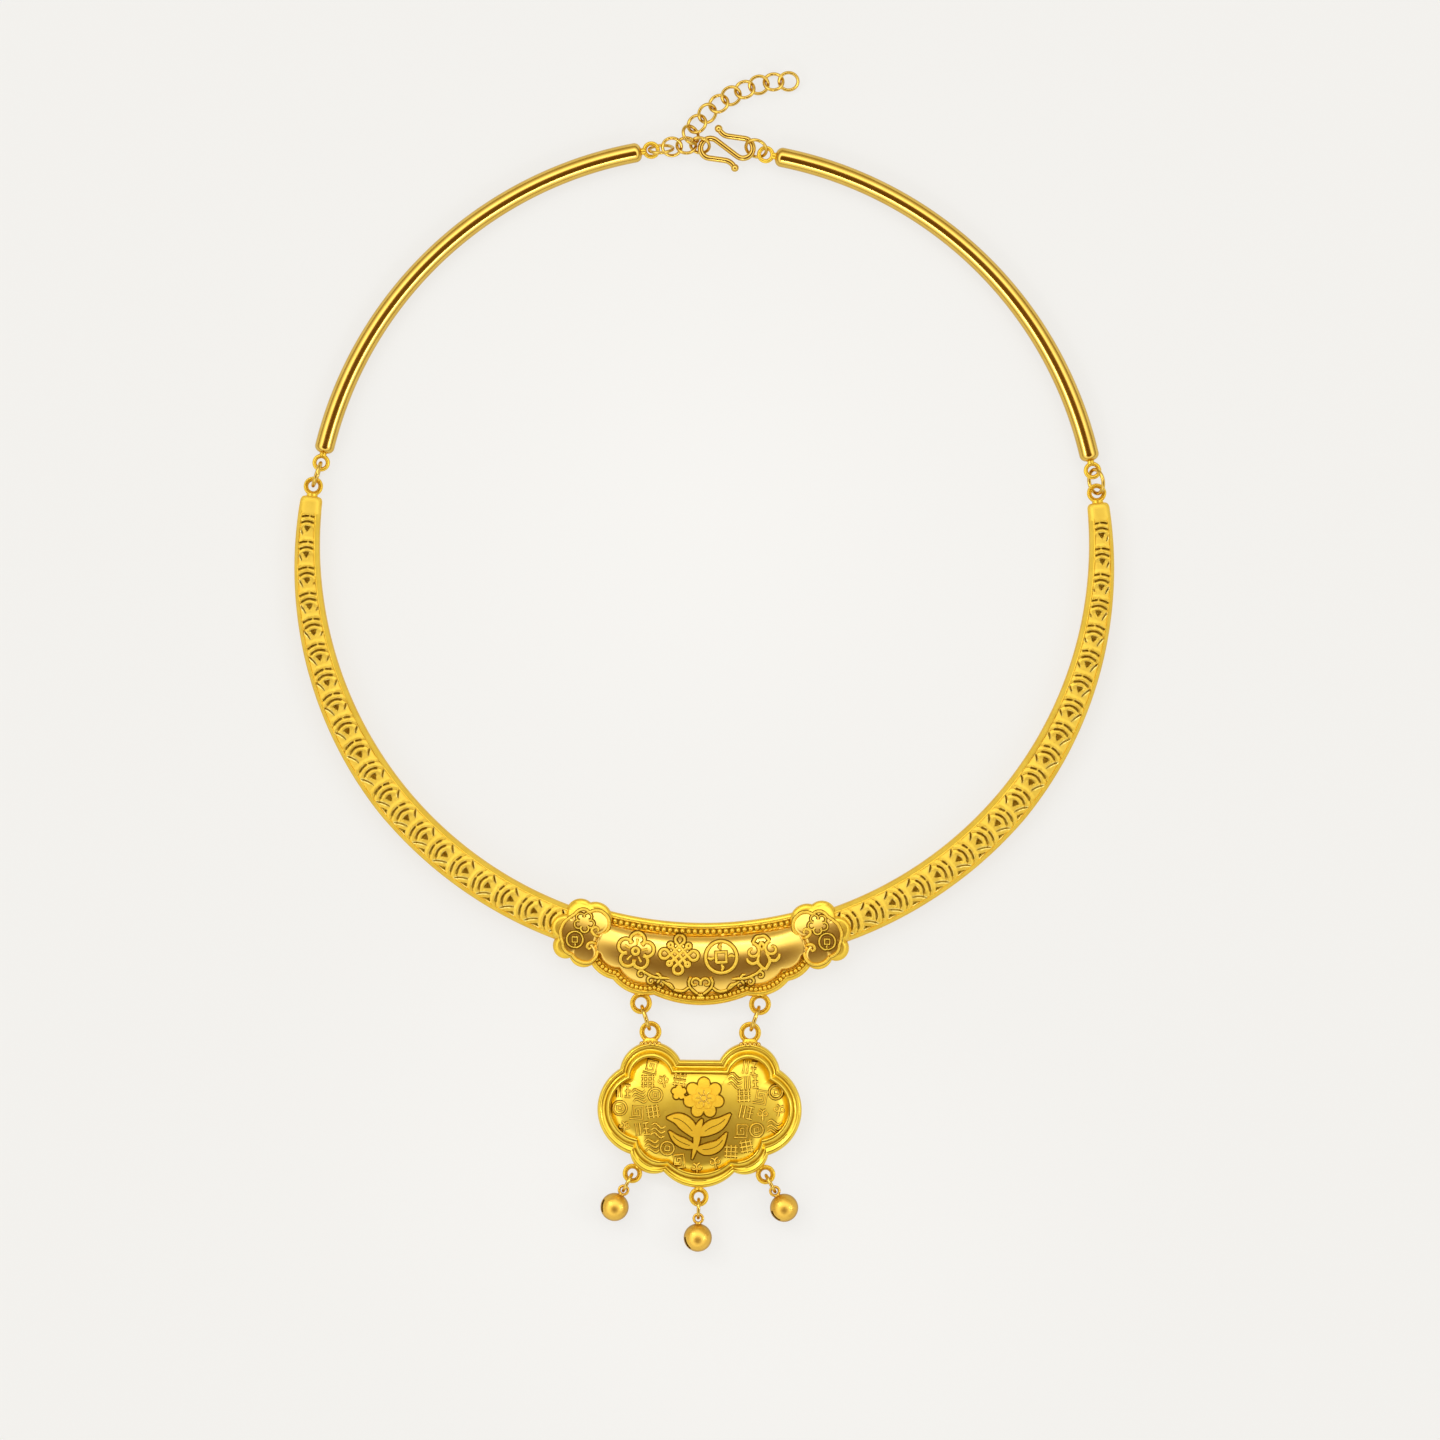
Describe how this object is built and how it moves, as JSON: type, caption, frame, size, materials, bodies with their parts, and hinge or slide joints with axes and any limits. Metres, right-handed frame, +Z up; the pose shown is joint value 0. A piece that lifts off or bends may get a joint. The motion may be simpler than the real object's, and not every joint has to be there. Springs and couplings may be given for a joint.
{
  "type": "folk longevity lock pendant on a rigid collar necklace",
  "caption": "Gold collar necklace: a pierced rigid front with a lobed plaque, plain back tubes, a hook and chain clasp, and a lobed longevity lock with ball bells.",
  "frame": {"origin": "centre of the neck opening, on the surface that the necklace lies on", "axes": "+X to the right as seen from above, +Y from the lock towards the clasp, +Z up from the surface"},
  "size_m": [0.1391, 0.2004, 0.005],
  "materials": {
    "satin_gold": "satin yellow gold",
    "polished_gold": "polished yellow gold"
  },
  "bodies": {
    "root": {"front_collar": "satin_gold", "back_tube_left": "polished_gold", "back_tube_right": "polished_gold", "arm_ring_left": "polished_gold", "arm_ring_right": "polished_gold", "lock": "satin_gold", "lock_ring_left": "polished_gold", "lock_ring_right": "polished_gold", "bell_left": "satin_gold", "bell_middle": "satin_gold", "bell_right": "satin_gold", "bell_ring_left": "polished_gold", "bell_ring_middle": "polished_gold", "bell_ring_right": "polished_gold", "clasp_hook": "polished_gold", "hook_ring": "polished_gold", "chain_ring_1": "polished_gold", "chain_ring_2": "polished_gold", "chain_ring_3": "polished_gold", "chain_ring_4": "polished_gold", "extender_ring_1": "polished_gold", "extender_ring_2": "polished_gold", "extender_ring_3": "polished_gold", "extender_ring_4": "polished_gold", "extender_ring_5": "polished_gold", "extender_ring_6": "polished_gold", "extender_ring_7": "polished_gold", "extender_ring_8": "polished_gold", "extender_ring_9": "polished_gold"}
  },
  "joints": []
}
